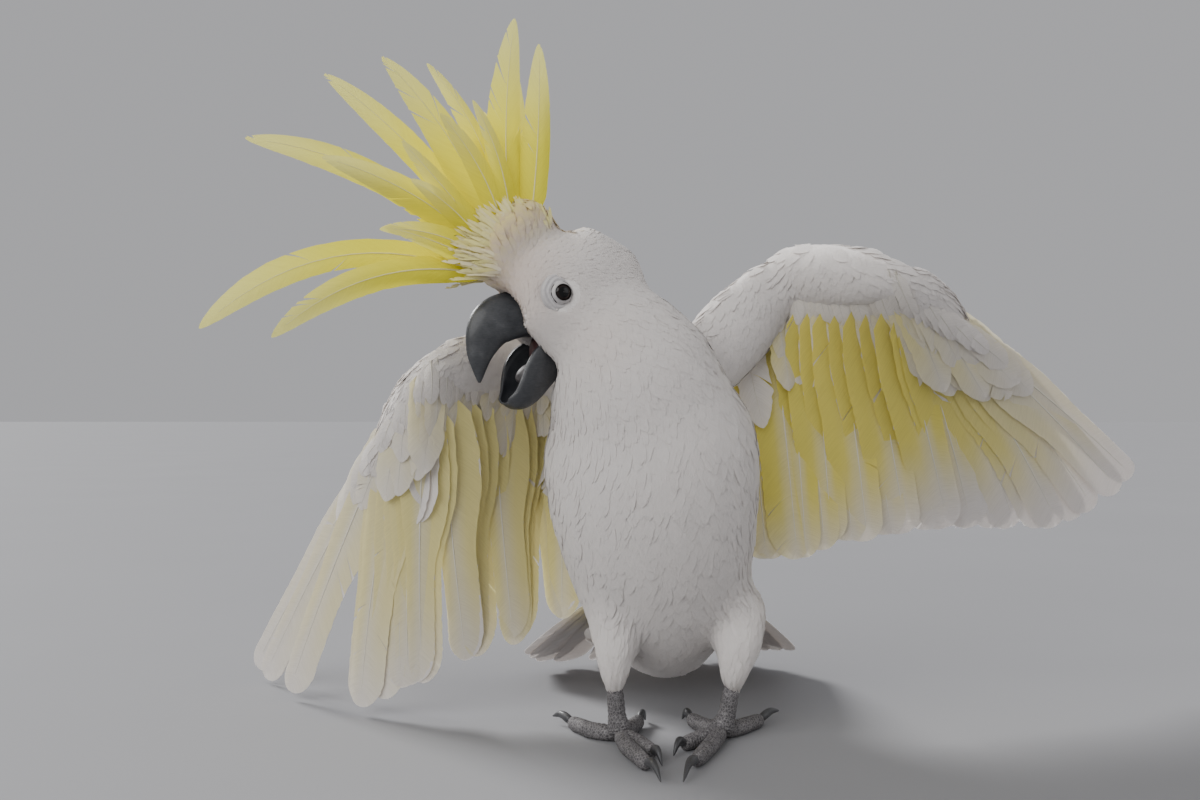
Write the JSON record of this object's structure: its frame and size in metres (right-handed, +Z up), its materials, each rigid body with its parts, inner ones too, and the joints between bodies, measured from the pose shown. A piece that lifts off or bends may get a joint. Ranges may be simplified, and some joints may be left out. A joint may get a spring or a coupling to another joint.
{
  "type": "sulphur-crested cockatoo",
  "caption": "Life-size still model of a sulphur-crested cockatoo with its crest fanned, bill open and both wings half spread",
  "frame": {"origin": "middle of the model's outline on the floor", "axes": "+Z up, the bird faces -Y, its left side is towards +X"},
  "size_m": [0.6209, 0.2892, 0.393],
  "materials": {
    "plumage": "soft white contour feathers",
    "flight_feathers": "white vanes washed with sulphur yellow underneath",
    "crest_feathers": "soft sulphur yellow vanes",
    "bill": "dark slate horn with a worn satin surface",
    "mouth": "moist dark mouth lining and tongue",
    "eye": "glossy near-black eye",
    "foot": "dark grey scaly skin",
    "claw": "dark satin horn"
  },
  "bodies": {
    "root": {"bill_lower": "bill", "bill_upper": "bill", "crest": "crest_feathers", "eye_left": "eye", "eye_right": "eye", "head": "plumage", "leg_left_tarsus": "foot", "leg_left_thigh": "plumage", "leg_left_toe_1": "foot", "leg_left_toe_1_claw": "claw", "leg_left_toe_2": "foot", "leg_left_toe_2_claw": "claw", "leg_left_toe_3": "foot", "leg_left_toe_3_claw": "claw", "leg_left_toe_4": "foot", "leg_left_toe_4_claw": "claw", "leg_right_tarsus": "foot", "leg_right_thigh": "plumage", "leg_right_toe_1": "foot", "leg_right_toe_1_claw": "claw", "leg_right_toe_2": "foot", "leg_right_toe_2_claw": "claw", "leg_right_toe_3": "foot", "leg_right_toe_3_claw": "claw", "leg_right_toe_4": "foot", "leg_right_toe_4_claw": "claw", "mouth": "mouth", "neck": "plumage", "tail": "plumage", "tongue": "mouth", "trunk": "plumage", "wing_left_forearm": "plumage", "wing_left_hand": "plumage", "wing_left_primaries": "flight_feathers", "wing_left_secondaries": "flight_feathers", "wing_left_upper_arm": "plumage", "wing_right_forearm": "plumage", "wing_right_hand": "plumage", "wing_right_primaries": "flight_feathers", "wing_right_secondaries": "flight_feathers", "wing_right_upper_arm": "plumage"}
  },
  "joints": []
}
